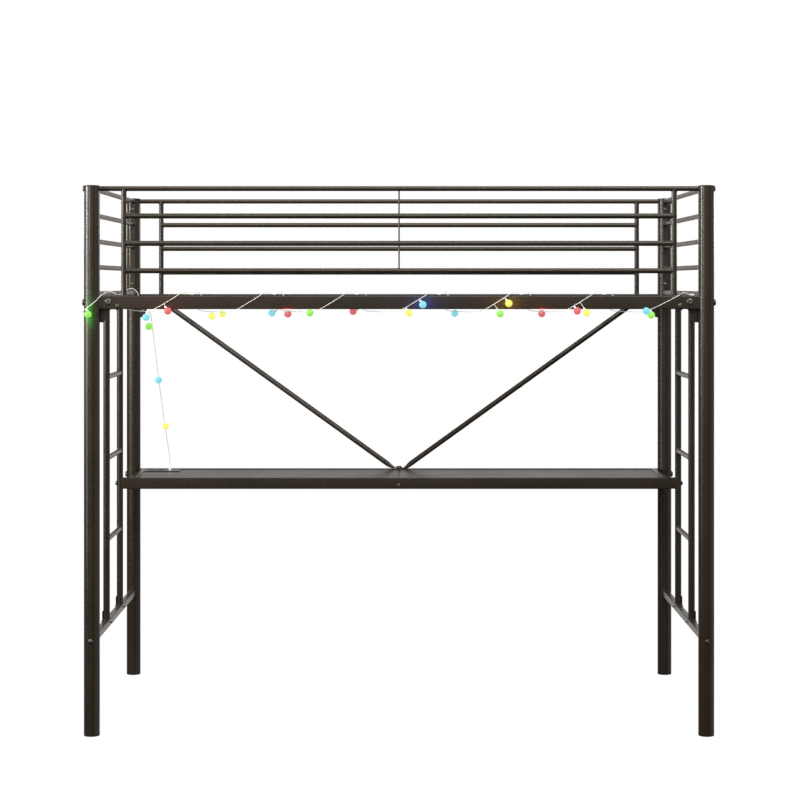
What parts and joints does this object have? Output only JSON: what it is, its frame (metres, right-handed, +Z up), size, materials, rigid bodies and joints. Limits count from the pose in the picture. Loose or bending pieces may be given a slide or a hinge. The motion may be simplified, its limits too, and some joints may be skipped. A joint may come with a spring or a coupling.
{
  "type": "loft bed with desk",
  "caption": "High single bed on round steel posts with slatted deck, guard rails all round, end ladders, a full-width desk below with a power outlet, V braces and string lights.",
  "frame": {"origin": "floor level, middle of the bed's plan", "axes": "+X to the right along the length as seen from the open front, +Y towards the wall side, +Z up"},
  "size_m": [2.0052, 1.0892, 1.7415],
  "materials": {
    "coated_steel": "satin dark brown-black powder coat",
    "bolt_steel": "dark coated bolt heads, a little brighter than the tubes",
    "desk_board": "satin dark laminate",
    "cap_plastic": "matte black caps",
    "outlet_plastic": "satin black",
    "white_plastic": "light wire, plug and end cap",
    "bulb_red": "glowing frosted ball",
    "bulb_green": "glowing frosted ball",
    "bulb_blue": "glowing frosted ball",
    "bulb_yellow": "glowing frosted ball"
  },
  "bodies": {
    "root": {"post_front_left": "coated_steel", "post_front_right": "coated_steel", "post_rear_left": "coated_steel", "post_rear_right": "coated_steel", "post_caps": "cap_plastic", "foot_caps": "cap_plastic", "side_rail_front": "coated_steel", "side_rail_rear": "coated_steel", "end_rail_left": "coated_steel", "end_rail_right": "coated_steel", "corner_brackets_front": "coated_steel", "corner_brackets_rear": "coated_steel", "guard_top_front": "coated_steel", "guard_bars_front": "coated_steel", "guard_uprights_front": "coated_steel", "guard_rod_front": "coated_steel", "guard_top_rear": "coated_steel", "guard_bars_rear": "coated_steel", "guard_uprights_rear": "coated_steel", "guard_rod_rear": "coated_steel", "end_guard_left": "coated_steel", "end_guard_right": "coated_steel", "ladder_stiles_left": "coated_steel", "ladder_rungs_left": "coated_steel", "ladder_stiles_right": "coated_steel", "ladder_rungs_right": "coated_steel", "ladder_tabs": "coated_steel", "lower_rail_left": "coated_steel", "lower_rail_right": "coated_steel", "mattress_slats": "coated_steel", "centre_beam": "coated_steel", "beam_hangers": "coated_steel", "desk_panel_left": "desk_board", "desk_panel_right": "desk_board", "desk_front_rail": "coated_steel", "desk_rear_rail": "coated_steel", "desk_side_rails": "coated_steel", "desk_centre_bar": "coated_steel", "desk_spacers": "coated_steel", "brace_left": "coated_steel", "brace_right": "coated_steel", "rail_bolts": "bolt_steel", "guard_bolts": "bolt_steel", "rail_face_bolts": "bolt_steel", "rail_screws": "bolt_steel", "end_guard_screws": "bolt_steel", "lower_rail_bolts": "bolt_steel", "ladder_bolts": "bolt_steel", "desk_bolts": "bolt_steel", "desk_screw": "bolt_steel", "brace_bolts": "bolt_steel", "outlet_housing": "outlet_plastic", "outlet_cover": "outlet_plastic", "light_wire": "white_plastic", "light_plug": "white_plastic", "light_end_cap": "white_plastic", "bulbs_red": "bulb_red", "bulbs_green": "bulb_green", "bulbs_blue": "bulb_blue", "bulbs_yellow": "bulb_yellow"}
  },
  "joints": []
}
